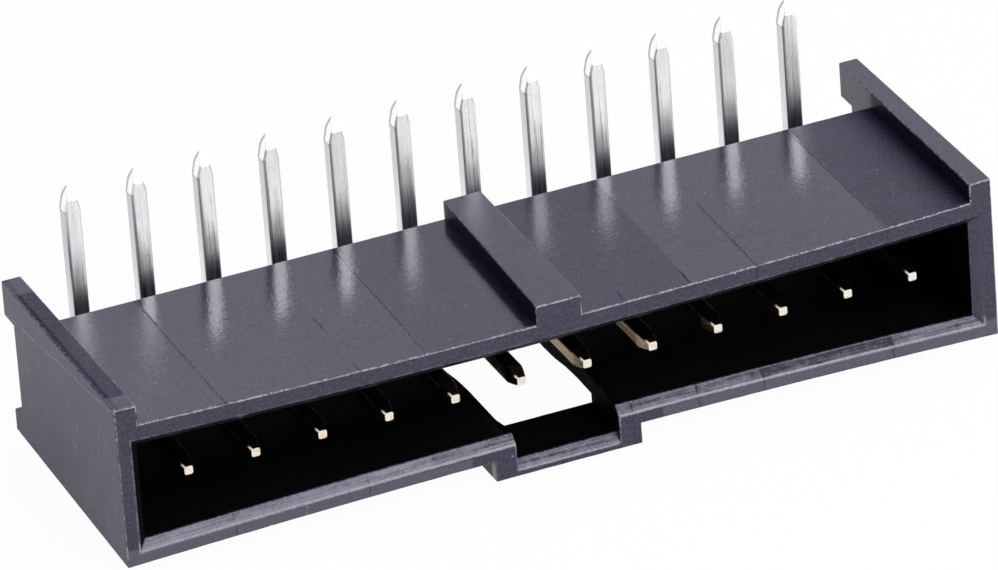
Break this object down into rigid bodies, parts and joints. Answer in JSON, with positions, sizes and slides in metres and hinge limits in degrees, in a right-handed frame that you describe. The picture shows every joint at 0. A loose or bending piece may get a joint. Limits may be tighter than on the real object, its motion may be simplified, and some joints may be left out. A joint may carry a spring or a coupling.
{
  "type": "right-angle box pin header",
  "caption": "Right-angle shrouded pin header: a drafted box shroud with stand-off ribs and a latch bridge round one row of bent square posts.",
  "frame": {"origin": "middle of the outline in X and Y, on the plane that the latch bridge stands on", "axes": "+X along the row of contacts, +Z along the solder tails towards the board, the mouth faces -Y"},
  "size_m": [0.0336, 0.0112, 0.0102],
  "materials": {
    "black_plastic": "moulded semi-gloss black with fine tooling lines and worn edges",
    "contact_metal": "drawn square wire, gold-flashed mating end and bright tinned tail"
  },
  "bodies": {
    "root": {"housing": "black_plastic", "pin_01": "contact_metal", "pin_02": "contact_metal", "pin_03": "contact_metal", "pin_04": "contact_metal", "pin_05": "contact_metal", "pin_06": "contact_metal", "pin_07": "contact_metal", "pin_08": "contact_metal", "pin_09": "contact_metal", "pin_10": "contact_metal", "pin_11": "contact_metal", "pin_12": "contact_metal"}
  },
  "joints": []
}
